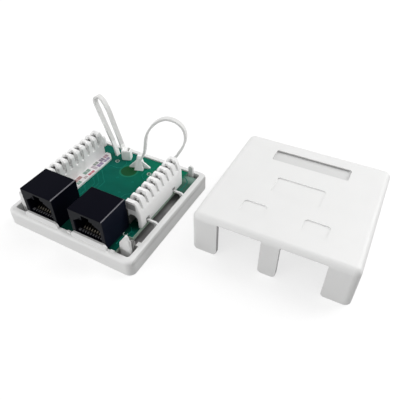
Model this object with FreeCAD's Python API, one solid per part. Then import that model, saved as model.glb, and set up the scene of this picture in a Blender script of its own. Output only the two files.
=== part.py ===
import FreeCAD, Part
import math
import os
from FreeCAD import Vector

# Two-port surface mount jack box, opened: tray, board, sockets, punch-down
# blocks, ties, and the cover standing beside the tray. Lengths in mm.
# X runs along the front (socket) wall, Y to the back, Z up from the wall face.

# tray
plan_w = 65.0
plan_d = 62.5
corner_r = 3.2
tray_h = 7.5
rim_t = 2.8
rim_round = 1.55
floor_t = 1.8
pad_w = 17.0
pad_d = 46.0
pad_x = 17.5
pad_y = -1.0
pad_depth = 0.4
lip_h = 3.0
lip_t = 0.9
lip_over = 0.6
lip_from_front = 1.3
bump_x = (0.8, 22.5)
finger_t = 0.9
finger_from_front = 5.1
finger_from_back = 7.7
finger_gap = 0.75
ledge_w = 1.4
ledge_reach = 1.2
stop_from_front = 7.85
ledge_from_back = (10.95, 5.95)
ledge_x = (-19.5, 19.5)
stop_w = 2.2
stop_reach = 1.5
stop_top = 7.2
post_side = 1.2
post_front = 2.85
post_w = 5.0
post_tip = 1.4
tab_side = 5.4
screw_r = 2.1
screw_head_r = 3.9
screw_span = 34.0
screw_mid_y = -5.0

# board
board_t = 1.6
board_top = 7.0
board_gap = 0.35
notch_under = 0.1
notch_from_front = 8.45
notch_from_back = 14.45
corner_cut_w = 6.4
corner_cut_d = 9.1

# sockets
jack_w = 16.3
jack_d = 14.7
jack_h = 15.3
jack_pitch = 24.6
part_shift = -0.6
seat_gap = 0.3
mouth_w = 12.3
mouth_z0 = 10.2
mouth_z1 = 16.9
key_w = 6.4
key_z = 19.5
latch_w = 3.6
latch_z = 21.0
mouth_d = 11.6
mouth_bevel = 0.35
contact_pitch = 1.27
contact_t = 0.5
peg_r = 0.95
peg_dx = 5.2
peg_dy = 6.5
peg_fit = 0.3
carrier_h = 3.0

# punch-down blocks
block_side = 4.0
block_w = 7.0
block_from_jack = 1.25
block_from_back = 7.95
block_h = 13.1
slot_end = 3.0
slots = 8
slot_w = 1.2
slot_depth = 4.7
valley_w = 2.5
valley_mid_w = 1.9
valley_depth = 1.5
pin_hole_w = 1.0
clip_from_inside = 2.7
clip_w = 2.2
clip_t = 0.5
pocket_w = 2.6
pocket_t = 1.5
shelf_z = 14.2
flute_w = 1.9
flute_t = 0.7
flute_low = 6.6
arch_w = 4.6
flange_w = 5.0
flange_t = 1.0
label_t = 0.2

# ties
strap_w = 2.3
strap_t = 1.0
tie_turn = 20.0
left_turn = -4.0
left_base_x = -14.3
left_from_back = 4.25
left_head_run = 5.9
left_loop = ((0.0, 5.6), (-0.8, 9.8), (-5.1, 22.0), (-8.3, 30.6), (-8.9, 35.4), (-6.4, 37.0), (-3.8, 35.2),
             (-0.4, 27.0), (3.9, 12.6), (4.3, 10.9))
right_turn = 16.3
right_base_x = 2.6
right_from_back = 7.05
right_slot_run = 12.5
right_loop = ((-1.2, 11.6), (1.2, 15.2), (3.2, 25.0), (6.6, 31.2), (13.4, 35.5), (19.6, 33.0), (21.5, 27.2),
              (19.0, 19.8), (13.8, 10.6), (12.5, 4.8))
anchor_run = -1.3
head_w = 4.6
head_d = 3.8
head_h = 5.3
under_z = 3.6
slot_fit = 0.35

# cover
cover_h = 19.1
cover_wall = 2.0
cover_top_t = 2.1
cover_round = 2.9
cover_x = 76.3
cover_y = 26.0
cover_turn = 1.5
opening_w = 17.8
opening_pitch = 25.0
opening_h = 17.0
leg_round = 1.8
window_w = 33.5
window_d = 7.8
window_y = 19.4
window_depth = 1.0
plate_w = 20.4
plate_d = 10.5
plate_y = -0.4
icon_w = 9.8
icon_d = 7.4
icon_y = -17.9
relief_depth = 0.45
rib_t = 1.2
side_rib_y = 10.0
roof_rib_y = (-12.0, 4.0)
knockout_w = 16.0
rib_low = 6.0
roof_rib_low = 15.2
catch_low = 5.2
catch_t = 1.4
knockout_h = 7.5

out_dir = "parts"
os.makedirs(out_dir, exist_ok=True)

half_w = plan_w / 2
half_d = plan_d / 2
inner_x = half_w - rim_t
inner_y = half_d - rim_t
board_z0 = board_top - board_t
lip_front = -half_d + lip_from_front
jack_front = lip_front + lip_t + seat_gap / 3
jack_back = jack_front + jack_d
jack_top = board_top + jack_h
notch_x = inner_x - block_side - notch_under
notch_y0 = notch_from_front - inner_y
notch_y1 = inner_y - notch_from_back
block_in = inner_x - block_side - block_w
block_y0 = jack_back + block_from_jack
block_y1 = inner_y - block_from_back
slot_first = block_y0 + slot_end
slot_pitch = (block_y1 - block_y0 - 2 * slot_end) / (slots - 1)
clip_x = block_in + clip_from_inside
finger_ys = (block_y0 + finger_from_front, block_y1 - finger_from_back)


def box(x0, x1, y0, y1, z0, z1):
    """Block between two corners."""
    return Part.makeBox(x1 - x0, y1 - y0, z1 - z0, Vector(x0, y0, z0))


def cyl(r, x, y, z0, z1):
    return Part.makeCylinder(r, z1 - z0, Vector(x, y, z0))


def prism(points, axis, start, length):
    """Flat outline given in the two axes after axis, pushed along axis."""
    corners = []
    for a, b in points:
        if axis == "X":
            corners.append(Vector(start, a, b))
        elif axis == "Y":
            corners.append(Vector(a, start, b))
        else:
            corners.append(Vector(a, b, start))
    corners.append(corners[0])
    face = Part.Face(Part.makePolygon(corners))
    push = {"X": Vector(length, 0, 0), "Y": Vector(0, length, 0), "Z": Vector(0, 0, length)}
    return face.extrude(push[axis])


def cushion(w, d, h, r, x=0.0, y=0.0, z=0.0):
    """Block with rounded upright edges, centred on x, y."""
    body = box(x - w / 2, x + w / 2, y - d / 2, y + d / 2, z, z + h)
    uprights = [e for e in body.Edges if abs(e.tangentAt(e.FirstParameter).z) > 0.9]
    return body.makeFillet(r, uprights)


def fillet_at(shape, r, test):
    """Round the edges whose middle point passes the test."""
    picked = [e for e in shape.Edges if test(e.CenterOfMass, e)]
    return shape.makeFillet(r, picked)


def joined(shapes):
    body = shapes[0]
    if len(shapes) > 1:
        body = shapes[0].multiFuse(shapes[1:])
    return body.removeSplitter()


def mirrored(shape):
    return shape.mirror(Vector(0, 0, 0), Vector(1, 0, 0))


def on_board(shape, side):
    """A right-hand piece, or its mirror image, moved with the board's other parts."""
    body = shape.copy() if side > 0 else mirrored(shape)
    body.translate(Vector(part_shift, 0, 0))
    return body


def wire_band(points, t):
    """Closed outline of thickness t round an open chain of points, mitred."""
    left = []
    right = []
    last = len(points) - 1
    for i, p in enumerate(points):
        a = points[max(i - 1, 0)]
        b = points[min(i + 1, last)]
        d1 = Vector(p[0] - a[0], p[1] - a[1], 0) if i > 0 else None
        d2 = Vector(b[0] - p[0], b[1] - p[1], 0) if i < last else None
        d1 = d1 or d2
        d2 = d2 or d1
        n1 = Vector(-d1.y, d1.x, 0).normalize()
        n2 = Vector(-d2.y, d2.x, 0).normalize()
        m = n1 + n2
        m = m.normalize()
        reach = t / 2 / max(m.dot(n1), 0.4)
        left.append((p[0] + m.x * reach, p[1] + m.y * reach))
        right.append((p[0] - m.x * reach, p[1] - m.y * reach))
    return left + right[::-1]


def placed(shape, degrees, x, y):
    shape.rotate(Vector(0, 0, 0), Vector(0, 0, 1), degrees)
    shape.translate(Vector(x, y, 0))
    return shape


def save(name, shape):
    if shape.ShapeType == "Compound" and len(shape.Solids) == 1:
        shape = shape.Solids[0]
    shape.exportStep(os.path.join(out_dir, name + ".step"))
    print(name, len(shape.Solids), round(shape.Volume, 1), shape.isValid())


def jack_centre(side):
    return side * jack_pitch / 2 + part_shift


def slot_y(k):
    return slot_first + k * slot_pitch


# tray
def corner_post():
    """Pointed post at the right front corner, with a ribbed wing behind its outer edge."""
    x1 = inner_x - post_side
    x0 = x1 - post_w
    tip = x1 - post_tip
    y = post_front - inner_y
    leaf = [(x0, 1.0), (x1, 1.0), (x1, 9.0), (x1 - 0.5, 13.8), (tip + 0.3, 15.1)]
    leaf = leaf + [(tip - 0.3, 15.1), (x0 + 0.3, 10.5), (x0, 8.0)]
    blade = prism(leaf, "Y", y, 1.2)
    wing = [(y + 0.6, 1.0), (y + 3.6, 1.0), (y + 3.6, 10.2), (y + 3.0, 11.0), (y + 0.6, 12.8)]
    wing = prism(wing, "X", x1 - 1.1, 1.1)
    for i in range(2):
        groove = y + 1.9 + i * 0.95
        wing = wing.cut(box(x1 - 0.3, x1 + 1, groove - 0.22, groove + 0.22, 2.5, 14))
    return blade.fuse(wing)


def make_tray():
    shell = cushion(plan_w, plan_d, tray_h, corner_r)
    top_edges = [e for e in shell.Edges if e.CenterOfMass.z > tray_h - 0.01]
    shell = shell.makeFillet(rim_round, top_edges)
    well = cushion(2 * inner_x, 2 * inner_y, tray_h, 1.2, 0, 0, floor_t)
    shell = shell.cut(well)
    x0 = pad_x - pad_w / 2
    for x in (x0, -x0 - pad_w):
        shell = shell.cut(box(x, x + pad_w, pad_y - pad_d / 2, pad_y + pad_d / 2, -1, pad_depth))
    added = []
    for side in (-1, 1):
        xc = jack_centre(side)
        x0 = xc - jack_w / 2 - lip_over
        x1 = xc + jack_w / 2 + lip_over
        z1 = tray_h + lip_h
        profile = [(x0, tray_h - 1), (x1, tray_h - 1), (x1, z1 - 1.2), (x1 - 1.2, z1)]
        profile = profile + [(x0 + 1.2, z1), (x0, z1 - 1.2)]
        added.append(prism(profile, "Y", lip_front, lip_t))
    for x in bump_x:
        added.append(box(x - 0.9, x + 0.9, -inner_y - 0.8, -inner_y, tray_h - 1, tray_h + 0.7))
    for side in (-1, 1):
        for y in finger_ys:
            reach = notch_x + side * part_shift - 0.8
            z = board_top + seat_gap
            hook = [(reach, z), (reach, z + 0.5), (reach + 0.8, z + 0.9), (inner_x - 0.9, z + 0.9)]
            hook = hook + [(inner_x + 0.4, z + 0.1), (inner_x + 0.4, 1.0), (inner_x - 1.6, 1.0)]
            hook = hook + [(inner_x - 1.3, z - 1.1), (inner_x - 1.7, z)]
            finger = prism(hook, "Y", y - finger_t / 2, finger_t)
            added.append(finger if side > 0 else mirrored(finger))
        for y in (inner_y - ledge_from_back[0], inner_y - ledge_from_back[1]):
            r = ledge_w / 2
            ledge = box(inner_x - ledge_reach, inner_x + 0.5, y - r, y + r, floor_t - 0.5, board_z0)
            added.append(ledge if side > 0 else mirrored(ledge))
        y = stop_from_front - inner_y
        stop = box(inner_x - stop_reach, inner_x + 0.5, y - stop_w / 2, y + stop_w / 2, floor_t - 0.5, stop_top)
        added.append(stop if side > 0 else mirrored(stop))
        post = corner_post()
        added.append(post if side > 0 else mirrored(post))
        x0 = inner_x - tab_side
        tab = [(x0, 1.0), (x0 + 2.5, 1.0), (x0 + 2.3, 11.2), (x0 + 1.7, 11.9), (x0 + 0.7, 11.9), (x0 + 0.2, 11.2)]
        tab = prism(tab, "Y", inner_y - 1.5, 1.1)
        added.append(tab if side > 0 else mirrored(tab))
    for x in ledge_x:
        for side in (-1, 1):
            r = ledge_w / 2
            y0, y1 = sorted((side * (inner_y - ledge_reach), side * (inner_y + 0.5)))
            added.append(box(x - r, x + r, y0, y1, floor_t - 0.5, board_z0))
    for sign in (-1, 1):
        y = sign * screw_span / 2 + screw_mid_y
        r = screw_head_r + 1.0
        added.append(cushion(2 * r, 2 * r, 3.4 - floor_t + 0.5, 1.6, 0, y, floor_t - 0.5))
    shell = joined([shell] + added)
    for side in (-1, 1):
        xc = jack_centre(side)
        reach = jack_w / 2 + seat_gap
        shell = shell.cut(box(xc - reach, xc + reach, lip_front + lip_t, -inner_y + 0.5, board_top - 0.2, 30))
    for sign in (-1, 1):
        y = sign * screw_span / 2 + screw_mid_y
        shell = shell.cut(cyl(screw_r, 0, y, -1, 6))
    return shell


# board
def make_board():
    w = inner_x - board_gap
    d = inner_y - board_gap
    board = box(-w, w, -d, d, board_z0, board_top)
    for side in (-1, 1):
        x0, x1 = sorted((side * notch_x + part_shift, side * (w + 1)))
        board = board.cut(box(x0, x1, notch_y0, notch_y1, 0, 10))
        x0, x1 = sorted((side * (w - corner_cut_w), side * (w + 1)))
        board = board.cut(box(x0, x1, -d - 1, -d + corner_cut_d, 0, 10))
        x0, x1 = sorted((side * (w - corner_cut_w + 1), side * (w + 1)))
        board = board.cut(box(x0, x1, d - 2.4, d + 1, 0, 10))
    holes = []
    for side in (-1, 1):
        for k in range(slots):
            holes.append(square_hole(side * clip_x + part_shift, slot_y(k)))
        for k in range(8):
            x, y = contact_tail(side, k)
            holes.append(square_hole(x, y))
    for x, y in ((-11.2, inner_y - 9.05), (8.0, inner_y - 10.15)):
        holes.append(cyl(0.55, x, y, 0, 10))
    for side in (-1, 1):
        for dx in (-peg_dx, peg_dx):
            holes.append(peg_column(peg_r + peg_fit, jack_centre(side) + dx, jack_front + peg_dy))
    holes.append(slot_cut(tie_point(left_base_x, left_from_back, left_turn, 0.0), left_turn))
    holes.append(slot_cut(tie_point(left_base_x, left_from_back, left_turn, left_head_run), tie_turn))
    holes.append(slot_cut(tie_point(right_base_x, right_from_back, right_turn, right_slot_run), right_turn))
    for hole in holes:
        board = board.cut(hole)
    return board


def square_hole(x, y):
    r = pin_hole_w / 2
    return box(x - r, x + r, y - r, y + r, 0, 10)


def peg_column(r, x, y):
    """Eight-sided column for a locating peg, under a socket."""
    a = r * 0.92
    b = r * 0.38
    ring = [(a, b), (b, a), (-b, a), (-a, b), (-a, -b), (-b, -a), (b, -a), (a, -b)]
    return prism([(x + c, y + d) for c, d in ring], "Z", 0, 10)


def slot_cut(at, degrees):
    w = strap_t / 2 + slot_fit
    d = strap_w / 2 + slot_fit
    return placed(box(-w, w, -d, d, 0, 10), degrees, at[0], at[1])


# sockets
def contact_tail(side, k):
    x = jack_centre(side) + (k - 3.5) * contact_pitch
    y = jack_back - (3.0 if k % 2 else 1.6)
    return x, y


def make_housing(side):
    xc = jack_centre(side)
    body = box(xc - jack_w / 2, xc + jack_w / 2, jack_front, jack_back, board_top, jack_top)
    body = body.makeChamfer(0.3, [e for e in body.Edges if e.CenterOfMass.z > jack_top - 0.01])
    back = jack_front + mouth_d
    body = body.cut(box(xc - mouth_w / 2, xc + mouth_w / 2, jack_front - 1, back, mouth_z0, mouth_z1))
    body = body.cut(box(xc - key_w / 2, xc + key_w / 2, jack_front - 1, back - 2.5, mouth_z1 - 1, key_z))
    body = body.cut(box(xc - latch_w / 2, xc + latch_w / 2, jack_front - 1, back - 4.5, key_z - 1, latch_z))
    m0 = xc - mouth_w / 2
    m1 = xc + mouth_w / 2
    flare = [(m0, mouth_z1), (xc - key_w / 2, mouth_z1 + 2.0), (xc + key_w / 2, mouth_z1 + 2.0)]
    flare = flare + [(m1, mouth_z1), (m1, mouth_z1 - 1), (m0, mouth_z1 - 1)]
    body = body.cut(prism(flare, "Y", jack_front - 1, 2.2))
    b = mouth_bevel
    lead = [(m0 - b, mouth_z0), (m1 + b, mouth_z0), (m1 + b, mouth_z1), (m0 - b, mouth_z1)]
    body = body.cut(prism(lead, "Y", jack_front - 1, 1 + b))
    body = body.cut(box(m0, m1, jack_front + 0.9, jack_back - 0.9, board_top - 1, mouth_z0 + 1))
    pegs = []
    for dx in (-peg_dx, peg_dx):
        peg = peg_column(peg_r, xc + dx, jack_front + peg_dy)
        pegs.append(peg.common(box(xc - 9, xc + 9, jack_front, jack_back, board_z0 - 0.6, board_top + 0.2)))
    for dx in (-1, 1):
        x0, x1 = sorted((xc + dx * (mouth_w / 2 + 0.1), xc + dx * (mouth_w / 2 - 1.6)))
        pegs.append(box(x0, x1, jack_front + 5.3, jack_front + 7.7, board_top, board_top + 1.0))
    return joined([body] + pegs)


def make_carrier(side):
    xc = jack_centre(side)
    y0 = jack_front + 1.0
    y1 = jack_back - 4.0
    w = mouth_w / 2 - 0.15
    base = box(xc - w, xc + w, y0, y1, board_top, board_top + carrier_h)
    nose = box(xc - w, xc + w, y0, y0 + 0.9, board_top, board_top + carrier_h + 1.1)
    base = joined([base, nose])
    for dx in (-1, 1):
        x0, x1 = sorted((xc + dx * (w + 1), xc + dx * (w - 1.75)))
        base = base.cut(box(x0, x1, jack_front + 5.1, jack_front + 7.9, 0, board_top + 1.2))
    for k in range(8):
        x = xc + (k - 3.5) * contact_pitch
        base = base.cut(box(x - 0.38, x + 0.38, y0 - 1, y1 + 1, board_top + carrier_h - 0.35, 20))
    return base


def make_contact(side, k):
    x, y = contact_tail(side, k)
    z_run = board_top + carrier_h - 0.35 + contact_t / 2
    chain = [(y, board_z0 - 1.4), (y, z_run), (jack_front + 2.9, z_run)]
    chain = chain + [(jack_front + 2.4, z_run + 0.35), (jack_front + 2.7, z_run + 0.9)]
    chain = chain + [(jack_front + 8.6, z_run + 3.9)]
    return prism(wire_band(chain, contact_t), "X", x - contact_t / 2, contact_t)


# punch-down blocks, drawn on the right and mirrored for the left
def make_block():
    x0 = block_in
    x1 = block_in + block_w
    top = board_top + block_h
    length = block_y1 - block_y0
    profile = [(x0, board_top), (x0, top - 1.6), (x0 + 0.9, top), (x1 - 2.2, top)]
    profile = profile + [(x1 - 1.3, top - 1.6), (x1, top - 6.0), (x1, board_top)]
    body = prism(profile, "Y", block_y0, length)
    body = fillet_at(body, 1.0, lambda c, e: abs(e.tangentAt(e.FirstParameter).z) > 0.75 and c.x > x1 - 1.6)
    xm = (x0 + x1) / 2
    spring = shelf_z - 0.8 - arch_w / 2
    tunnel = box(xm - arch_w / 2, xm + arch_w / 2, block_y0 - 1, block_y1 + 1, board_top - 1, spring)
    start = Vector(xm, block_y0 - 1, spring)
    vault = Part.makeCylinder(arch_w / 2, length + 2, start, Vector(0, 1, 0))
    body = body.cut(tunnel.fuse(vault))
    for y in finger_ys:
        reach = finger_t / 2 + finger_gap
        body = body.cut(box(x1 - 2, x1 + 1, y - reach, y + reach, board_top - 1, board_top + 2.7))
    cuts = []
    for k in range(slots):
        y = slot_y(k)
        s = slot_w / 2
        low = top - valley_depth
        half = [(valley_w / 2, top + 0.01), (valley_mid_w / 2, top - 0.35), (s, low), (s, top - slot_depth)]
        v = [(y - a, z) for a, z in half] + [(y + a, z) for a, z in half[::-1]]
        cuts.append(prism(v, "X", x0 - 1, block_w + 2))
        f = flute_w / 2
        z = top - flute_low
        flute = [(y - f, top - 1), (y + f, top - 1), (y + f, z + 0.6), (y, z), (y - f, z + 0.6)]
        cuts.append(prism(flute, "X", x0 - 1, 1 + flute_t))
        c0 = clip_x - pocket_t / 2
        c1 = clip_x + pocket_t / 2
        cuts.append(box(c0, c1, y - pocket_w / 2, y + pocket_w / 2, shelf_z, top))
        cuts.append(box(clip_x - 0.55, clip_x + 0.55, y - 0.6, y + 0.6, board_top, shelf_z + 1))
    for cutter in cuts:
        body = body.cut(cutter)
    y1 = block_y1 + 1.2
    y0 = block_y0 + 0.8
    foot = [(x0 - flange_w, y0), (x0 + 0.4, y0), (x0 + 0.4, block_y1), (x0, y1)]
    foot = foot + [(x0 - 2.2, y1), (x0 - flange_w, y1 - 2.8)]
    foot = prism(foot, "Z", board_top, flange_t)
    return joined([body, foot])


def make_label():
    x1 = block_in - 0.35
    x0 = block_in - flange_w + 0.3
    y0 = block_y0 + 1.2
    y1 = block_y1 + 0.8
    outline = [(x0, y0), (x1, y0), (x1, y1), (x1 - 1.75, y1), (x0, y1 - 2.4)]
    return prism(outline, "Z", board_top + flange_t, label_t)


def make_clip(k):
    y = slot_y(k)
    w = clip_w / 2
    tip = board_top + block_h - valley_depth - 0.4
    half = [(0.3, board_z0 - 1.4), (0.3, shelf_z), (w, shelf_z), (w, tip)]
    half = half + [(0.5, tip), (0.14, tip - 0.9), (0.14, tip - 2.9)]
    outline = [(y + a, z) for a, z in half] + [(y - a, z) for a, z in half[::-1]]
    return prism(outline, "X", clip_x - clip_t / 2, clip_t)


# ties, each in an upright plane: a run along the plane and a height give a point
def tie_point(base_x, from_back, degrees, run):
    a = math.radians(degrees)
    return (base_x + run * math.cos(a), inner_y - from_back + run * math.sin(a))


def tie_band(base_x, from_back, degrees, loop):
    points = []
    for run, z in loop:
        x, y = tie_point(base_x, from_back, degrees, run)
        points.append(Vector(x, y, z))
    a = math.radians(degrees)
    return strap(points, Vector(-math.sin(a), math.cos(a), 0))


def strap(points, flat):
    """Flat strap swept along a smooth curve, its width kept along flat."""
    curve = Part.BSplineCurve()
    curve.interpolate(points)
    path = Part.Wire([curve.toShape()])
    start = points[0]
    tangent = curve.tangent(curve.FirstParameter)[0]
    side = flat.cross(tangent).normalize()
    wide = tangent.cross(side).normalize()
    a = side * (strap_t / 2)
    b = wide * (strap_w / 2)
    corners = [start + a + b, start - a + b, start - a - b, start + a - b, start + a + b]
    shell = Part.BRepOffsetAPI.MakePipeShell(path)
    shell.setBiNormalMode(flat)
    shell.add(Part.makePolygon(corners))
    shell.build()
    shell.makeSolid()
    return Part.Solid(shell.shape()) if shell.shape().ShapeType == "Shell" else shell.shape()


def make_left_tie():
    band = tie_band(left_base_x, left_from_back, left_turn, left_loop)
    sx, sy = tie_point(left_base_x, left_from_back, left_turn, 0.0)
    hx, hy = tie_point(left_base_x, left_from_back, left_turn, left_head_run)
    top = board_top + head_h
    head = box(-head_w / 2, head_w / 2, -head_d / 2, head_d / 2, board_top, top)
    head = fillet_at(head, 0.8, lambda c, e: abs(e.tangentAt(e.FirstParameter).z) > 0.9)
    head = head.makeChamfer(0.5, [e for e in head.Edges if e.CenterOfMass.z > top - 0.01])
    head = head.cut(box(0.5, 1.7, -strap_w / 2 - 0.2, strap_w / 2 + 0.2, board_top + 1, board_top + 9))
    head = placed(head, tie_turn, hx, hy)
    t = strap_t / 2
    b = strap_w / 2
    down = placed(box(-t, t, -b, b, under_z, board_top + 1), tie_turn, hx, hy)
    up = placed(box(-t, t, -b, b, under_z, 5.8), left_turn, sx, sy)
    under = box(-t, left_head_run + t, -b, b, under_z, under_z + strap_t)
    under = placed(under, left_turn, sx, sy)
    return joined([head, band, down, up, under])


def make_right_tie():
    band = tie_band(right_base_x, right_from_back, right_turn, right_loop)
    low = [(-2.1, -2.6), (2.1, -2.6), (2.1, 1.6), (-2.1, 1.6), (-2.1, -2.6)]
    high = [(-0.9, 0.2), (0.9, 0.2), (0.9, 1.6), (-0.9, 1.6), (-0.9, 0.2)]
    low = [Vector(a, c, board_top) for a, c in low]
    high = [Vector(a, c, 13.4) for a, c in high]
    wedge = Part.makeLoft([Part.makePolygon(low), Part.makePolygon(high)], True, True)
    legs = []
    for side in (-1, 1):
        fin = [(1.2, board_top), (5.1, board_top), (5.1, board_top + 0.5), (1.0, 11.6)]
        fin = [(side * a, z) for a, z in fin]
        legs.append(prism(fin, "Y", -0.6, 0.8))
    anchor = joined([wedge] + legs)
    x, y = tie_point(right_base_x, right_from_back, right_turn, anchor_run)
    return joined([placed(anchor, tie_turn, x, y - 0.5), band])


# cover
def make_cover():
    body = box(-half_w, half_w, -half_d, half_d, 0, cover_h)
    body = body.makeFillet(cover_round, [e for e in body.Edges if e.CenterOfMass.z > 0.01])
    inside_w = plan_w - 2 * cover_wall
    inside_d = plan_d - 2 * cover_wall
    inside = cushion(inside_w, inside_d, cover_h - cover_top_t, cover_round - 1.2)
    body = body.cut(inside)
    for side in (-1, 1):
        xc = side * opening_pitch / 2
        reach = opening_w / 2
        y1 = -half_d + cover_wall + 0.5
        body = body.cut(box(xc - reach, xc + reach, -half_d - 1, y1, -1, opening_h))
    for side in (-1, 1):
        for edge_side in (-1, 1):
            x = side * opening_pitch / 2 + edge_side * opening_w / 2
            y = -half_d - 1
            x0, x1 = sorted((x, x + edge_side * leg_round))
            corner = box(x0, x1, y, y + 4, -1, leg_round)
            start = Vector(x + edge_side * leg_round, y, leg_round)
            rod = Part.makeCylinder(leg_round, 4, start, Vector(0, 1, 0))
            body = body.cut(corner.cut(rod))
    window = cushion(window_w, window_d, 5, 0.8, 0.3, window_y, cover_h - window_depth)
    body = body.cut(window)
    yb = window_y + window_d / 2
    xr = 0.3 + window_w / 2
    zf = cover_h - window_depth
    body = body.cut(box(0.3 - window_w / 2 + 1, xr - 1, yb - 0.5, yb + 0.8, zf, zf + 0.5))
    body = body.cut(box(xr - 0.5, xr + 0.8, window_y - window_d / 2 + 1, yb - 1, zf, zf + 0.5))
    body = body.cut(cushion(plate_w, plate_d, 5, 1.0, 0.5, plate_y, cover_h - relief_depth))
    for side in (-1, 1):
        icon = cushion(icon_w, icon_d, 5, 1.5, 0.3 + side * 12.4, icon_y, cover_h - relief_depth)
        body = body.cut(icon)
    added = []
    xw = half_w - cover_wall
    yw = half_d - cover_wall
    roof = cover_h - cover_top_t + 0.3
    r = rib_t / 2
    for side in (-1, 1):
        x0, x1 = sorted((side * (xw - 1.8), side * (xw + 0.1)))
        for y in (-side_rib_y, side_rib_y):
            added.append(box(x0, x1, y - r, y + r, rib_low, roof))
        catch = box(xw - 3.9, xw + 0.2, yw - 1.6, half_d - 0.5, catch_low, catch_low + catch_t)
        added.append(catch if side > 0 else mirrored(catch))
    for y in roof_rib_y:
        added.append(box(-xw - 0.3, xw + 0.3, y - r, y + r, roof_rib_low, roof))
    body = joined([body] + added)
    body = body.cut(box(-knockout_w / 2, knockout_w / 2, yw - 1, half_d - 0.8, -1, knockout_h))
    return placed(body, cover_turn, cover_x, cover_y)


save("base_tray", make_tray())
save("circuit_board", make_board())
for side, name in ((-1, "left"), (1, "right")):
    save(name + "_jack_housing", make_housing(side))
    save(name + "_contact_carrier", make_carrier(side))
    for k in range(8):
        save(name + "_jack_contact_" + str(k + 1), make_contact(side, k))
block = make_block()
label = make_label()
for side, name in ((-1, "left"), (1, "right")):
    save(name + "_punchdown_block", on_board(block, side))
    save(name + "_code_label", on_board(label, side))
    for k in range(slots):
        save(name + "_wire_clip_" + str(k + 1), on_board(make_clip(k), side))
save("left_cable_tie", make_left_tie())
save("right_cable_tie", make_right_tie())
save("cover", make_cover())
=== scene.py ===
import bmesh
import bpy
import math
from mathutils import Matrix, Vector


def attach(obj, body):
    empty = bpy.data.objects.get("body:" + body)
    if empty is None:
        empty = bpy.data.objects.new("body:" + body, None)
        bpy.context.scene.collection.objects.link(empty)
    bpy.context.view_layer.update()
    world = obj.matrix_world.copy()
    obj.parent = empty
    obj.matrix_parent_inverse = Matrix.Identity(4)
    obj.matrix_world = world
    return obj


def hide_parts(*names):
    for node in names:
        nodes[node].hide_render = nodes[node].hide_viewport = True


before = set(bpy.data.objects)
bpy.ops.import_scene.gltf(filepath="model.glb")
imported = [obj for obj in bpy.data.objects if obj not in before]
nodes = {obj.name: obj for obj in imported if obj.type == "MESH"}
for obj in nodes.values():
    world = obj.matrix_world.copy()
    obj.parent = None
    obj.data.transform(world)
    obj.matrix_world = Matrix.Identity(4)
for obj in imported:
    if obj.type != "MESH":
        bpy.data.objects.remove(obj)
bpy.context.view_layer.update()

# opened two-port surface mount box: tray with board, sockets and blocks, cover beside it
mm = 0.001
print("frame loaded:", len(nodes), "nodes")

# camera that matches the photo: place, lens and sensor in mm, angles in degrees
camera = {"x": 104.42, "y": -107.65, "z": 133.56, "yaw": -28.75, "pitch": 42.42, "roll": -0.22,
          "lens": 38.41, "sensor": 36, "nearest": 10}

# stage: a grey floor that looks white, a room that is darker to the right, three square lamps
# sizes in metres, power in watts
stageLook = {"floorColour": (0.28, 0.28, 0.28), "floorRoughness": 0.9, "floorGlow": 0.74, "floorHalf": 3.0,
             "roomLight": 0.56, "roomLean": 0.45, "white": (1.0, 1.0, 1.0), "lampAim": (0.03, 0.0, 0.0)}
lamps = [
    {"name": "keyPanel", "at": (0.38, 0.70, 1.12), "size": 0.75, "power": 7.05},
    {"name": "edgePanel", "at": (0.79, 0.76, 0.49), "size": 0.42, "power": 4.0},
    {"name": "frontPanel", "at": (-0.36, -0.72, 0.16), "size": 0.50, "power": 3.25},
]


def addObject(name, data):
    obj = bpy.data.objects.new(name, data)
    bpy.context.scene.collection.objects.link(obj)
    return obj


def makeCamera():
    v = camera
    yaw = math.radians(v["yaw"])
    pitch = math.radians(v["pitch"])
    roll = math.radians(v["roll"])
    ahead = Vector((math.sin(yaw) * math.cos(pitch), math.cos(yaw) * math.cos(pitch), -math.sin(pitch)))
    level = Vector((math.cos(yaw), -math.sin(yaw), 0))
    upright = level.cross(ahead)
    right = level * math.cos(roll) + upright * math.sin(roll)
    up = upright * math.cos(roll) - level * math.sin(roll)
    data = bpy.data.cameras.new("photoCamera")
    data.lens = v["lens"]
    data.sensor_width = v["sensor"]
    data.clip_start = v["nearest"] * mm
    turn = Matrix((right, up, -ahead)).transposed().to_4x4()
    turn.translation = Vector((v["x"], v["y"], v["z"])) * mm
    obj = addObject("photoCamera", data)
    obj.matrix_world = turn
    bpy.context.scene.camera = obj


class Sock:
    # a node's output that takes part in plain arithmetic
    def __init__(self, shading, socket):
        self.shading = shading
        self.socket = socket

    def math(self, operation, a, b):
        return self.shading.node("ShaderNodeMath", {"operation": operation}, {0: a, 1: b})

    def __add__(self, other):
        return self.math("ADD", self, other)

    def __radd__(self, other):
        return self.math("ADD", other, self)

    def __sub__(self, other):
        return self.math("SUBTRACT", self, other)

    def __rsub__(self, other):
        return self.math("SUBTRACT", other, self)

    def __mul__(self, other):
        return self.math("MULTIPLY", self, other)

    def __rmul__(self, other):
        return self.math("MULTIPLY", other, self)

    def __truediv__(self, other):
        return self.math("DIVIDE", self, other)

    def __rtruediv__(self, other):
        return self.math("DIVIDE", other, self)

    def __abs__(self):
        return self.math("ABSOLUTE", self, 0.0)

    def __lt__(self, other):
        return self.math("LESS_THAN", self, other)

    def __gt__(self, other):
        return self.math("GREATER_THAN", self, other)

    def largest(self, other):
        return self.math("MAXIMUM", self, other)

    def within(self, low, high):
        return (self > low) * (self < high)

    def near(self, at, reach):
        return abs(self - at) < reach


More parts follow.
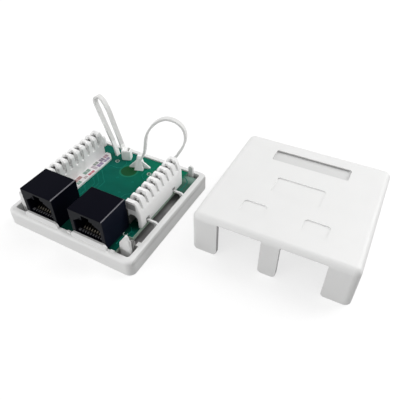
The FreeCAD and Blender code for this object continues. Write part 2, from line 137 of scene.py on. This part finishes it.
class Shading:
    # the nodes of one material or of the room
    def __init__(self, tree):
        self.tree = tree

    def node(self, kind, settings, inputs, out=0):
        made = self.tree.nodes.new(kind)
        for key, value in settings.items():
            setattr(made, key, value)
        for key, value in inputs.items():
            self.feed(made.inputs[key], value)
        return Sock(self, made.outputs[out])

    def feed(self, socket, value):
        if isinstance(value, Sock):
            self.tree.links.new(value.socket, socket)
        elif socket.type == "RGBA":
            socket.default_value = (*value, 1)
        else:
            socket.default_value = value

    def fade(self, value, start, end):
        # 0 before start, 1 after end
        return self.node("ShaderNodeMapRange", {}, {"Value": value, "From Min": start, "From Max": end})

    def seenRays(self):
        # 1 for rays from the camera and for mirrored or refracted ones, else 0
        found = self.node("ShaderNodeLightPath", {}, {}, "Is Camera Ray")
        for ray in ("Is Glossy Ray", "Is Transmission Ray"):
            found = found.largest(self.node("ShaderNodeLightPath", {}, {}, ray))
        return found


class Look(Shading):
    # one material, with its patterns on Object coordinates
    def __init__(self, name):
        self.material = bpy.data.materials.new(name)
        self.material.use_nodes = True
        super().__init__(self.material.node_tree)
        self.shader = self.tree.nodes["Principled BSDF"]
        self.place = self.node("ShaderNodeTexCoord", {}, {}, "Object")

    def set(self, **values):
        names = {"colour": "Base Color", "roughness": "Roughness", "metallic": "Metallic", "normal": "Normal",
                 "ior": "IOR", "glowColour": "Emission Color", "glow": "Emission Strength"}
        for key, value in values.items():
            self.feed(self.shader.inputs[names[key]], value)

    def axes(self, wanted="xyz"):
        # place on the wanted axes, in mm
        metres = [self.node("ShaderNodeSeparateXYZ", {}, {0: self.place}, axis.upper()) for axis in wanted]
        return [value * (1 / mm) for value in metres]

    def noise(self, size, detail=3.0, rough=0.5):
        # size in mm
        return self.node("ShaderNodeTexNoise", {}, {"Vector": self.place, "Scale": 1 / (size * mm),
                                                    "Detail": detail, "Roughness": rough})

    def patchy(self, size, least, detail=3.0, rough=0.5):
        # noise that never falls below least
        return least + (1 - least) * self.noise(size, detail, rough)

    def mix(self, factor, a, b):
        return self.node("ShaderNodeMix", {"data_type": "RGBA"}, {0: factor, 6: a, 7: b}, 2)

    def bump(self, height, strength, depth):
        # depth in mm
        return self.node("ShaderNodeBump", {}, {"Height": height, "Strength": strength,
                                                "Distance": depth * mm})


def dress(look, names):
    for name in names:
        data = nodes[name].data
        data.materials.clear()
        data.materials.append(look.material)


def makeRoom():
    v = stageLook
    world = bpy.data.worlds.new("studio")
    world.use_nodes = True
    bpy.context.scene.world = world
    room = Shading(world.node_tree)
    back = room.tree.nodes["Background"]
    place = room.node("ShaderNodeTexCoord", {}, {}, "Generated")
    toRight = room.node("ShaderNodeSeparateXYZ", {}, {0: place}, "X")
    side = room.node("ShaderNodeMapRange", {}, {"Value": toRight, "From Min": -1.0,
                                                "To Min": v["roomLight"] * (1 + v["roomLean"]),
                                                "To Max": v["roomLight"] * (1 - v["roomLean"])})
    level = room.node("ShaderNodeMapRange", {}, {"Value": room.seenRays(), "To Min": side, "To Max": 1.0})
    room.feed(back.inputs["Color"], v["white"])
    room.feed(back.inputs["Strength"], level)


def makeFloor():
    v = stageLook
    half = v["floorHalf"]
    corners = [(-half, -half, 0), (half, -half, 0), (half, half, 0), (-half, half, 0)]
    mesh = bpy.data.meshes.new("floor")
    mesh.from_pydata(corners, [], [(0, 1, 2, 3)])
    floor = addObject("floor", mesh)
    look = Look("floorPaper")
    look.set(colour=v["floorColour"], roughness=v["floorRoughness"], glowColour=v["white"],
             glow=look.seenRays() * v["floorGlow"])
    mesh.materials.append(look.material)


def makeLamps():
    for lamp in lamps:
        data = bpy.data.lights.new(lamp["name"], "AREA")
        data.shape = "SQUARE"
        data.size = lamp["size"]
        data.energy = lamp["power"]
        obj = addObject(lamp["name"], data)
        obj.location = lamp["at"]
        aim = Vector(stageLook["lampAim"]) - Vector(lamp["at"])
        obj.rotation_euler = aim.to_track_quat("-Z", "Y").to_euler()


bpy.context.scene.view_settings.view_transform = "Standard"
makeCamera()
makeRoom()
makeFloor()
makeLamps()
print("camera, floor and lamps made")

# rounded edges of the moulded pieces: widths in mm, angles in degrees
edgeLook = {"tray": 0.18, "cover": 0.22, "block": 0.30, "housing": 0.14, "tie": 0.16,
            "steps": 2, "blockSteps": 3, "angle": 32, "tieAngle": 50, "sharp": 40, "flat": 1.0,
            "merge": 0.001, "evenWeight": 100}


def softEdges(node, name, body, look, width, steps=edgeLook["steps"], angle=edgeLook["angle"]):
    # shows a solid by a copy of its mesh with rounded edges
    mesh = nodes[node].data.copy()
    mesh.name = name
    bm = bmesh.new()
    bm.from_mesh(mesh)
    bmesh.ops.remove_doubles(bm, verts=bm.verts, dist=edgeLook["merge"] * mm)
    bmesh.ops.dissolve_limit(bm, angle_limit=math.radians(edgeLook["flat"]), verts=bm.verts, edges=bm.edges)
    bm.to_mesh(mesh)
    bm.free()
    for face in mesh.polygons:
        face.use_smooth = True
    mesh.set_sharp_from_angle(angle=math.radians(edgeLook["sharp"]))
    rough = addObject(name + "Rough", mesh)
    bevel = rough.modifiers.new("edges", "BEVEL")
    bevel.width = width * mm
    bevel.segments = steps
    bevel.limit_method = "ANGLE"
    bevel.angle_limit = math.radians(angle)
    bevel.use_clamp_overlap = True
    even = rough.modifiers.new("evenShading", "WEIGHTED_NORMAL")
    even.mode = "FACE_AREA"
    even.weight = edgeLook["evenWeight"]
    ready = bpy.data.meshes.new_from_object(rough.evaluated_get(bpy.context.evaluated_depsgraph_get()))
    bpy.data.objects.remove(rough)
    ready.name = name
    ready.materials.clear()
    ready.materials.append(look.material)
    piece = addObject(name, ready)
    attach(piece, body)
    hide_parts(node)
    print(name, len(ready.polygons), "faces")


# moulded white plastic: sizes in mm
shellLook = {"colour": (0.80, 0.80, 0.795), "shade": (0.765, 0.765, 0.76), "cloud": 9.0, "grain": 0.16,
             "relief": 0.10, "depth": 0.02, "roughness": 0.42, "roughGrain": 0.08, "ior": 1.5}


def shellMaterial(name, detail, colour=shellLook["colour"], shade=shellLook["shade"]):
    v = shellLook
    look = Look(name)
    cloud = look.noise(v["cloud"], detail=4.0)
    grain = look.noise(v["grain"], detail=2.0)
    paint = detail(look, look.mix(cloud, colour, shade))
    look.set(colour=paint, roughness=v["roughness"] + v["roughGrain"] * (grain - 0.5), ior=v["ior"],
             normal=look.bump(grain, v["relief"], v["depth"]))
    return look


# tray: painted shade in the well under the board, on the wings behind the front posts and on a band under the
# right rim; sizes in mm
trayLook = {"well": (0.24, 0.235, 0.235), "wellLight": (0.46, 0.45, 0.45), "lightY": (3.0, 10.0),
            "wellX": 29.9, "wellY": (-25.0, 28.6), "wellZ": (6.6, 4.2), "floorZ": 0.5,
            "wing": (0.30, 0.30, 0.295), "wingX": (27.35, 29.5), "wingY": (-24.42, -21.9), "wingZ": 1.9,
            "band": (0.62, 0.62, 0.615), "bandX": 31.95, "bandZ": (4.6, 6.0), "bandTop": 7.4}


def wellShade(look, paint):
    # painted shade in the hollow under the board, lighter toward the back
    v = trayLook
    x, y, z = look.axes()
    inside = (abs(x) < v["wellX"]) * y.within(*v["wellY"]) * (z > v["floorZ"])
    grey = look.mix(look.fade(y, *v["lightY"]), v["well"], v["wellLight"])
    paint = look.mix(inside * look.fade(z, *v["wellZ"]), paint, grey)
    # painted shade on a band of the right outer wall under the rim
    band = (x > v["bandX"]) * (z < v["bandTop"]) * look.fade(z, *v["bandZ"])
    paint = look.mix(band, paint, v["band"])
    # painted shade on the wings behind the front posts
    wing = abs(x).within(*v["wingX"]) * y.within(*v["wingY"]) * (z > v["wingZ"])
    return look.mix(wing, paint, v["wing"])


softEdges("base_tray", "trayShell", "outlet", shellMaterial("whiteTray", wellShade),
          edgeLook["tray"])

# cover: painted shade on the floor and walls of the label window in its roof; sizes in mm, turn in degrees
coverLook = {"centre": (76.3, 26.0), "turn": 1.5, "window": (0.3, 19.4), "halfWindow": (17.3, 4.6),
             "wallZ": (18.2, 18.95), "floorZ": (17.9, 18.2), "floor": (0.66, 0.66, 0.655),
             "wall": (0.60, 0.60, 0.595)}


def windowShade(look, paint):
    # painted shade on the floor and walls of the label window, greyer than the roof round it
    v = coverLook
    x, y, z = look.axes()
    cosine = math.cos(math.radians(v["turn"]))
    sine = math.sin(math.radians(v["turn"]))
    fromX = x - v["centre"][0]
    fromY = y - v["centre"][1]
    along = fromX * cosine + fromY * sine
    across = fromY * cosine - fromX * sine
    inside = along.near(v["window"][0], v["halfWindow"][0]) * across.near(v["window"][1], v["halfWindow"][1])
    paint = look.mix(inside * z.within(*v["floorZ"]), paint, v["floor"])
    return look.mix(inside * z.within(*v["wallZ"]), paint, v["wall"])


softEdges("cover", "coverShell", "cover", shellMaterial("whiteCover", windowShade),
          edgeLook["cover"])

# punch-down blocks: places in mm, x measured from the line midway between the two blocks
midX = -0.6
blockLook = {"colour": (0.935, 0.935, 0.93), "shade": (0.905, 0.90, 0.895),
             "firstY": -10.0, "pitch": 3.9286, "slots": 8, "rowEnd": 2.0,
             "flute": (0.96, 0.96, 0.955), "fluteX": 19.48, "fluteHalf": 0.93, "fluteZ": (13.3, 19.0),
             "pocket": (0.24, 0.235, 0.235), "pocketX": 22.1, "pocketHalf": (1.2, 1.33),
             "pocketZ": (14.0, 18.7),
             "endY": -13.0, "endReach": 0.1,
             "recess": (0.37, 0.365, 0.365), "recessX": (19.7, 24.0), "recessZ": (16.0, 19.0),
             "leg": (0.06, 0.064, 0.06), "legX": 19.95, "legZ": (15.9, 14.9),
             "arch": (0.15, 0.155, 0.15), "archX": 22.2, "archHalf": 2.33, "archTop": 13.5, "archY": -12.85}


def blockShade(look, paint):
    # painted light in the flutes, painted shade in the pockets between the teeth, then painted shade on the
    # recess, inner leg and arch at the end
    v = blockLook
    x, y, z = look.axes()
    across = abs(x - midX)
    half = v["pitch"] / 2
    step = look.node("ShaderNodeMath", {"operation": "WRAP"}, {0: y - v["firstY"], 1: half, 2: -half})
    lastY = v["firstY"] + v["pitch"] * (v["slots"] - 1)
    inRow = y.within(v["firstY"] - v["rowEnd"], lastY + v["rowEnd"])
    flute = inRow * (abs(step) < v["fluteHalf"]) * (across < v["fluteX"]) * z.within(*v["fluteZ"])
    pocket = inRow * across.near(v["pocketX"], v["pocketHalf"][0]) * (abs(step) < v["pocketHalf"][1])
    pocket = pocket * z.within(*v["pocketZ"])
    atEnd = y.near(v["endY"], v["endReach"])
    recess = atEnd * across.within(*v["recessX"]) * z.within(*v["recessZ"])
    leg = atEnd * (across < v["legX"]) * look.fade(z, *v["legZ"])
    arch = across.near(v["archX"], v["archHalf"]) * (z < v["archTop"]) * (y > v["archY"])
    # painted light: the flutes are lighter than the block round them
    paint = look.mix(flute, paint, v["flute"])
    # painted shade on the inner leg, in the pockets, in the end recess and under the arch
    paint = look.mix(leg, paint, v["leg"])
    paint = look.mix(pocket, paint, v["pocket"])
    paint = look.mix(recess, paint, v["recess"])
    return look.mix(arch, paint, v["arch"])


block = shellMaterial("whiteBlock", blockShade, blockLook["colour"], blockLook["shade"])
for side in ("left", "right"):
    softEdges(side + "_punchdown_block", side + "Block", "outlet", block, edgeLook["block"],
              edgeLook["blockSteps"])

# board: places and radii in mm
boardLook = {"mask": (0.0010, 0.090, 0.062), "maskLight": (0.002, 0.135, 0.098), "cloud": 6.0,
             "maskBright": (0.0005, 0.165, 0.080), "brightX": (-8.0, 12.0), "brightY": (4.0, 20.0),
             "bright": 0.75,
             "disc": (0.010, 0.078, 0.026), "discAt": (-1.7, 15.7), "discRadius": 3.8,
             "ring": (0.02, 0.22, 0.12), "ringRadius": 4.7, "ringShare": 0.5,
             "silk": (0.50, 0.56, 0.53), "marks": ((-11.2, 19.4), (8.0, 18.3)), "markRadius": (0.75, 1.05),
             "arcAt": (20.95, -18.3), "arcRadius": (0.70, 1.05), "arcEnd": -17.9,
             "edge": (0.36, 0.46, 0.38), "edgeZ": (5.44, 6.96), "sideX": (24.65, 25.4),
             "sideY": (-19.0, 14.0), "frontX": (22.9, 25.0), "frontY": -19.0, "frontHalf": 0.3,
             "wearAndHighlightPatch": 1.1, "wearAndHighlightLeast": 0.35, "roughness": 0.40, "roughGrain": 0.12, "grain": 0.5,
             "relief": 0.06, "depth": 0.03, "ior": 1.12}

# soft shade on the board: beside and between the sockets, under the block ends, at the front, in a corner
boardShade = {"shade": (0.001, 0.026, 0.018),
              "socketX": (24.45, 20.25), "socketFrom": 18.85, "socketBack": -14.2, "socket": 0.9,
              "blockY": (-18.0, -13.5), "blockBack": -7.0, "blockX": (17.6, 25.6), "block": 0.95,
              "frontY": (-25.0, -28.5), "front": 0.6,
              "gapX": (-4.75, 3.55), "gapY": (-14.5, -19.0), "gap": 0.92,
              "cornerX": (23.0, 25.0), "cornerFrom": 14.0, "corner": 0.95, "patches": 1.6,
              "patchLeast": 0.55, "cornerShade": (0.050, 0.088, 0.076), "cornerLight": (0.26, 0.34, 0.31),
              "cornerY": (20.5, 23.5)}


def boardMaterial():
    v = boardLook
    s = boardShade
    look = Look("boardLaminate")
    x, y, z = look.axes()

    def distance(at):
        dx = x - at[0]
        dy = y - at[1]
        return look.node("ShaderNodeMath", {"operation": "SQRT"}, {0: dx * dx + dy * dy})

    colour = look.mix(look.noise(v["cloud"]), v["mask"], v["maskLight"])
    bright = look.fade(x, *v["brightX"]) * look.fade(y, *v["brightY"])
    colour = look.mix(v["bright"] * bright, colour, v["maskBright"])
    fromDisc = distance(v["discAt"])
    colour = look.mix(v["ringShare"] * (fromDisc < v["ringRadius"]), colour, v["ring"])
    colour = look.mix(fromDisc < v["discRadius"], colour, v["disc"])
    for at in v["marks"]:
        colour = look.mix(distance(at).within(*v["markRadius"]), colour, v["silk"])

    beside = look.fade(x, *s["socketX"]) * (y < s["socketBack"]) * (x > s["socketFrom"])
    under = look.fade(y, *s["blockY"]) * (y < s["blockBack"]) * abs(x - midX).within(*s["blockX"])
    front = look.fade(y, *s["frontY"])
    gap = x.within(*s["gapX"]) * look.fade(y, *s["gapY"])
    shade = (s["socket"] * beside).largest(s["block"] * under)
    shade = shade.largest(s["front"] * front).largest(s["gap"] * gap)
    colour = look.mix(shade, colour, s["shade"])
    # painted shade in the right back corner, lighter toward the back and broken into patches
    cornerShadeTone = look.mix(look.fade(y, *s["cornerY"]), s["cornerShade"], s["cornerLight"])
    corner = s["corner"] * look.fade(x, *s["cornerX"]) * (y > s["cornerFrom"])
    corner = corner * look.patchy(s["patches"], s["patchLeast"])
    colour = look.mix(corner, colour, cornerShadeTone)

    # broken ring beside the right socket, then the bare edge of the laminate
    arc = distance(v["arcAt"]).within(*v["arcRadius"]) * (y < v["arcEnd"])
    colour = look.mix(arc, colour, v["silk"])
    rim = x.within(*v["sideX"]) * y.within(*v["sideY"])
    rim = rim.largest(y.near(v["frontY"], v["frontHalf"]) * x.within(*v["frontX"]))
    wornAndHighlight = look.patchy(v["wearAndHighlightPatch"], v["wearAndHighlightLeast"], detail=4.0)
    colour = look.mix(rim * wornAndHighlight, colour, v["edge"])
    colour = look.mix(z.within(*v["edgeZ"]), colour, v["edge"])
    grain = look.noise(v["grain"], detail=2.0)
    look.set(colour=colour, roughness=v["roughness"] + v["roughGrain"] * grain, ior=v["ior"],
             normal=look.bump(grain, v["relief"], v["depth"]))
    return look


dress(boardMaterial(), ["circuit_board"])

# copper under the mask: thin ribbons along drawn paths and plated rings, sizes in mm
copperLook = {"colour": (0.006, 0.185, 0.135), "shade": (0.003, 0.140, 0.100), "cloud": 2.5,
              "roughness": 0.40, "roughCloud": 0.1, "grain": 0.5, "relief": 0.06, "depth": 0.03, "ior": 1.12,
              "width": 0.42, "height": 0.035, "bend": 1.2, "bendSteps": 4, "boardTop": 7.0,
              "traceSunk": 0.008, "ringRadius": 0.55, "holeRadius": 0.26, "ringSides": 16, "ringSunk": 0.004}
copperPaths = [
    [(-2.6, -13.4), (-2.6, -8.0), (-8.6, -2.0), (-8.6, 1.8), (-13.2, 6.4)],
    [(-3.8, -13.4), (-3.8, -8.6), (-10.2, -2.2), (-10.2, 0.4), (-13.2, 3.4)],
    [(-1.2, -17.5), (-1.2, -7.0), (-6.8, -1.4), (-6.8, 3.4), (-13.2, 9.8)],
    [(0.4, -22.0), (0.4, -9.5), (6.4, -3.5), (6.4, 0.6), (12.2, 6.4)],
    [(1.8, -22.0), (1.8, -10.2), (8.0, -4.0), (8.0, -1.0), (12.2, 3.2)],
    [(2.4, -13.4), (9.6, -6.2), (9.6, -4.0), (12.2, -1.4)],
    [(-12.6, -13.6), (-12.6, -9.8), (-10.8, -8.0), (-10.8, -5.2), (-13.2, -2.8)],
    [(-12.4, 14.8), (-7.6, 14.8), (-6.0, 16.4), (-6.0, 19.8), (-9.0, 22.8), (-12.0, 22.8)],
    [(11.8, 14.0), (7.4, 14.0), (5.4, 16.0), (5.4, 20.6), (8.2, 23.4), (11.6, 23.4)],
    [(27.0, 15.8), (27.0, 21.6), (24.8, 23.8), (20.4, 23.8)],
    [(20.9, -14.4), (22.2, -15.7), (22.2, -18.6), (20.9, -19.9), (20.9, -24.6)],
]
viaSpots = [(-13.2, 6.4), (-13.2, 3.4), (-13.2, 9.8), (12.2, 6.4), (12.2, 3.2), (12.2, -1.4), (-13.2, -2.8),
            (-0.6, -3.4), (3.4, 1.2), (-3.6, 9.2), (4.6, 9.8), (0.2, -10.6), (20.4, 23.8), (27.0, 15.8),
            (22.9, -16.4)]


class NodeTree:
    # a geometry node tree written out in script, with sizes in mm as its inputs
    def __init__(self, name, sizes):
        self.tree = bpy.data.node_groups.new(name, "GeometryNodeTree")
        face = self.tree.interface
        face.new_socket("Geometry", in_out="INPUT", socket_type="NodeSocketGeometry")
        face.new_socket("Geometry", in_out="OUTPUT", socket_type="NodeSocketGeometry")
        self.sizes = {}
        for key, value in sizes.items():
            made = face.new_socket(key, in_out="INPUT", socket_type="NodeSocketFloat")
            self.sizes[made.identifier] = value * mm
        self.start = self.tree.nodes.new("NodeGroupInput")
        self.end = self.tree.nodes.new("NodeGroupOutput")

    def node(self, kind, inputs, settings=None):
        made = self.tree.nodes.new(kind)
        for key, value in (settings or {}).items():
            setattr(made, key, value)
        for key, value in inputs.items():
            if isinstance(value, bpy.types.NodeSocket):
                self.tree.links.new(value, made.inputs[key])
            else:
                made.inputs[key].default_value = value
        return made.outputs[0]

    def size(self, key):
        return self.start.outputs[key]

    def join(self, *parts):
        both = self.tree.nodes.new("GeometryNodeJoinGeometry")
        for part in parts:
            self.tree.links.new(part, both.inputs[0])
        return both.outputs[0]

    def close(self, geometry, look):
        real = self.node("GeometryNodeRealizeInstances", {"Geometry": geometry})
        painted = self.node("GeometryNodeSetMaterial", {"Geometry": real, "Material": look.material})
        self.tree.links.new(painted, self.end.inputs[0])


def grow(tree, name, points, edges, body):
    # runs a node tree on drawn points and lines, in mm, and keeps the plain mesh
    base = bpy.data.meshes.new(name + "Lines")
    base.from_pydata([tuple(c * mm for c in point) for point in points], edges, [])
    rough = addObject(name + "Lines", base)
    live = rough.modifiers.new("grown", "NODES")
    live.node_group = tree.tree
    for identifier, value in tree.sizes.items():
        live[identifier] = value
    ready = bpy.data.meshes.new_from_object(rough.evaluated_get(bpy.context.evaluated_depsgraph_get()))
    bpy.data.objects.remove(rough)
    ready.name = name
    piece = addObject(name, ready)
    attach(piece, body)
    print(name, len(ready.polygons), "faces")


def copperMaterial():
    v = copperLook
    look = Look("maskedCopper")
    cloud = look.noise(v["cloud"])
    grain = look.noise(v["grain"], detail=2.0)
    look.set(colour=look.mix(cloud, v["colour"], v["shade"]), ior=v["ior"],
             roughness=v["roughness"] + v["roughCloud"] * cloud,
             normal=look.bump(grain, v["relief"], v["depth"]))
    return look


def makeTraces(look):
    v = copperLook
    tree = NodeTree("copperRibbons", {"Width": v["width"], "Height": v["height"], "Bend": v["bend"]})
    line = tree.node("GeometryNodeMeshToCurve", {"Mesh": tree.start.outputs[0]})
    bent = tree.node("GeometryNodeFilletCurve", {"Curve": line, "Radius": tree.size("Bend"),
                                                 "Limit Radius": True, "Count": v["bendSteps"]},
                     {"mode": "POLY"})
    upright = tree.node("GeometryNodeSetCurveNormal", {"Curve": bent}, {"mode": "Z_UP"})
    profile = tree.node("GeometryNodeCurvePrimitiveQuadrilateral", {"Width": tree.size("Width"),
                                                                    "Height": tree.size("Height")})
    ribbon = tree.node("GeometryNodeCurveToMesh", {"Curve": upright, "Profile Curve": profile,
                                                   "Fill Caps": True})
    tree.close(ribbon, look)
    points = []
    edges = []
    z = v["boardTop"] + v["height"] / 2 - v["traceSunk"]
    for path in copperPaths:
        for i, (x, y) in enumerate(path):
            if i:
                edges.append((len(points) - 1, len(points)))
            points.append((x, y, z))
    grow(tree, "boardTraces", points, edges, "outlet")


def makeVias(look):
    v = copperLook
    tree = NodeTree("platedRings", {"Ring": v["ringRadius"], "Hole": v["holeRadius"], "Height": v["height"]})
    rim, hole = [tree.node("GeometryNodeCurvePrimitiveCircle", {"Radius": tree.size(key),
                                                                "Resolution": v["ringSides"]})
                 for key in ("Ring", "Hole")]
    flat = tree.node("GeometryNodeFillCurve", {"Curve": tree.join(hole, rim)})
    thick = tree.node("GeometryNodeExtrudeMesh", {"Mesh": flat, "Offset Scale": tree.size("Height"),
                                                  "Individual": False})
    placed = tree.node("GeometryNodeInstanceOnPoints", {"Points": tree.start.outputs[0], "Instance": thick})
    tree.close(placed, look)
    points = [(x, y, v["boardTop"] - v["ringSunk"]) for x, y in viaSpots]
    grow(tree, "boardVias", points, [], "outlet")


copper = copperMaterial()
makeTraces(copper)
makeVias(copper)

# black socket bodies and the combs inside them, with painted light on some faces and edges: places in mm
socketLook = {"colour": (0.0022, 0.0024, 0.0058), "light": (0.0035, 0.0037, 0.0078), "cloud": 5.0,
              "grain": 0.3, "relief": 0.05, "depth": 0.02, "ior": 1.08, "roughGrain": 0.10,
              "roughness": 0.24, "combRoughness": 0.45,
              "rightFace": (0.0065, 0.0085, 0.0165), "rightX": 19.75,
              "face": (0.020, 0.021, 0.024), "faceY": -28.87, "faceTop": 21.9,
              "wornAndHighlight": (0.22, 0.215, 0.235), "sides": (-4.75, 19.85), "highlightHalf": 0.34, "highlightZ": 21.94,
              "wearAndHighlightPatch": 2.5, "wearAndHighlightLeast": 0.55, "nose": (0.11, 0.11, 0.12), "noseZ": 10.7, "noseY": -27.0}


def housingShade(look, paint):
    # painted light: the right face of the right socket and the face round each mouth are lighter, and a
    # painted highlight lies in patches along the right top edge of each socket
    v = socketLook
    x, y, z = look.axes()
    left, right = v["sides"]
    paint = look.mix(x > v["rightX"], paint, v["rightFace"])
    paint = look.mix((y < v["faceY"]) * (z < v["faceTop"]), paint, v["face"])
    # painted highlight in patches along the right top edge of each socket
    edge = x.near(left, v["highlightHalf"]).largest(x.near(right, v["highlightHalf"]))
    wornAndHighlight = look.patchy(v["wearAndHighlightPatch"], v["wearAndHighlightLeast"])
    return look.mix(edge * (z > v["highlightZ"]) * wornAndHighlight, paint, v["wornAndHighlight"])


def combShade(look, paint):
    # the nose of the comb catches some light in the mouth
    y, z = look.axes("yz")
    return look.mix((z > socketLook["noseZ"]) * (y < socketLook["noseY"]), paint, socketLook["nose"])


def socketMaterial(name, detail, roughness):
    v = socketLook
    look = Look(name)
    grain = look.noise(v["grain"])
    paint = detail(look, look.mix(look.noise(v["cloud"]), v["colour"], v["light"]))
    look.set(colour=paint, roughness=roughness + v["roughGrain"] * grain, ior=v["ior"],
             normal=look.bump(grain, v["relief"], v["depth"]))
    return look


black = socketMaterial("blackHousing", housingShade, socketLook["roughness"])
for side in ("left", "right"):
    softEdges(side + "_jack_housing", side + "Housing", "outlet", black, edgeLook["housing"])
comb = socketMaterial("blackCarrier", combShade, socketLook["combRoughness"])
dress(comb, ["left_contact_carrier", "right_contact_carrier"])

# contact springs and wire clips: places in mm
metalLook = {"streak": 0.8, "relief": 0.08, "depth": 0.02, "roughStreak": 0.15}
contactLook = {"colour": (0.016, 0.014, 0.011), "wornAndHighlight": (0.010, 0.009, 0.007), "roughness": 0.42,
               "bend": (0.15, 0.135, 0.11), "bendY": (-26.4, -25.55)}
clipLook = {"colour": (0.34, 0.335, 0.33), "wornAndHighlight": (0.22, 0.215, 0.21), "roughness": 0.36}


def metalMaterial(name, values, detail=None):
    v = metalLook
    look = Look(name)
    streak = look.noise(v["streak"], detail=4.0)
    paint = look.mix(streak, values["colour"], values["wornAndHighlight"])
    if detail:
        paint = detail(look, paint)
    look.set(colour=paint, metallic=1.0, roughness=values["roughness"] + v["roughStreak"] * streak,
             normal=look.bump(streak, v["relief"], v["depth"]))
    return look


def contactBend(look, paint):
    # only the bend of each spring catches light, the rest lies in the dark of the mouth
    y = look.axes("y")[0]
    return look.mix(y.within(*contactLook["bendY"]), paint, contactLook["bend"])


dress(metalMaterial("giltContact", contactLook, contactBend), [n for n in nodes if "jack_contact" in n])
dress(metalMaterial("tinnedClip", clipLook), [n for n in nodes if "wire_clip" in n])

# printed colour-code strip: plain fields, each from y to y in mm and across the strip from u to u,
# with 0 near the block and 1 at the far edge
labelFields = [
    (-9.6, -5.6, 0.12, 0.86, (0.30, 0.13, 0.11)),
    (-4.6, -2.2, 0.56, 0.96, (0.09, 0.25, 0.17)),
    (-4.9, 0.6, 0.04, 0.50, (0.34, 0.14, 0.13)),
    (0.2, 2.2, 0.60, 0.94, (0.38, 0.28, 0.27)),
    (2.6, 6.6, 0.04, 0.50, (0.12, 0.26, 0.19)),
    (3.0, 7.0, 0.68, 1.00, (0.52, 0.06, 0.10)),
    (8.0, 9.6, 0.14, 0.90, (0.36, 0.28, 0.34)),
    (10.0, 13.0, 0.02, 0.40, (0.16, 0.21, 0.17)),
    (10.2, 13.8, 0.50, 0.98, (0.21, 0.12, 0.29)),
    (14.0, 16.6, 0.10, 0.60, (0.12, 0.07, 0.16)),
    (14.6, 18.6, 0.66, 0.98, (0.23, 0.16, 0.31)),
    (17.2, 19.8, 0.12, 0.56, (0.38, 0.18, 0.26)),
]
labelLook = {"paper": (0.84, 0.82, 0.83), "shade": (0.76, 0.73, 0.74), "cloud": 2.0, "ink": 0.55,
             "inkLeast": 0.70, "inkRough": 0.7, "blockX": 18.35, "width": 4.35, "lineHalf": 0.24,
             "line": 0.45, "roughness": 0.55, "roughCloud": 0.1}


def labelMaterial():
    v = labelLook
    look = Look("printedLabel")
    x, y = look.axes("xy")
    cloud = look.noise(v["cloud"])
    ink = look.patchy(v["ink"], v["inkLeast"], detail=4.0, rough=v["inkRough"])
    colour = look.mix(cloud, v["paper"], v["shade"])
    u = (v["blockX"] - abs(x - midX)) / v["width"]
    for y0, y1, u0, u1, tint in labelFields:
        field = y.within(y0, y1) * u.within(u0, u1)
        paleLine = v["line"] * y.near((y0 + y1) / 2, v["lineHalf"])
        colour = look.mix(field * (1 - paleLine) * ink, colour, tint)
    look.set(colour=colour, roughness=v["roughness"] + v["roughCloud"] * cloud)
    return look


dress(labelMaterial(), ["left_code_label", "right_code_label"])

# moulded nylon ties: sizes in mm
tieLook = {"colour": (0.76, 0.76, 0.75), "shade": (0.71, 0.71, 0.70), "cloud": 4.0,
           "head": (0.94, 0.94, 0.93), "headTop": 14.5, "grain": 0.4, "relief": 0.08, "depth": 0.02,
           "roughness": 0.38, "roughGrain": 0.1}


def tieMaterial():
    v = tieLook
    look = Look("naturalNylon")
    grain = look.noise(v["grain"])
    z = look.axes("z")[0]
    band = look.mix(look.noise(v["cloud"]), v["colour"], v["shade"])
    look.set(colour=look.mix(z < v["headTop"], band, v["head"]),
             roughness=v["roughness"] + v["roughGrain"] * grain,
             normal=look.bump(grain, v["relief"], v["depth"]))
    return look


nylon = tieMaterial()
for side in ("left", "right"):
    softEdges(side + "_cable_tie", side + "Tie", "outlet", nylon, edgeLook["tie"],
              angle=edgeLook["tieAngle"])
print("finishes made")
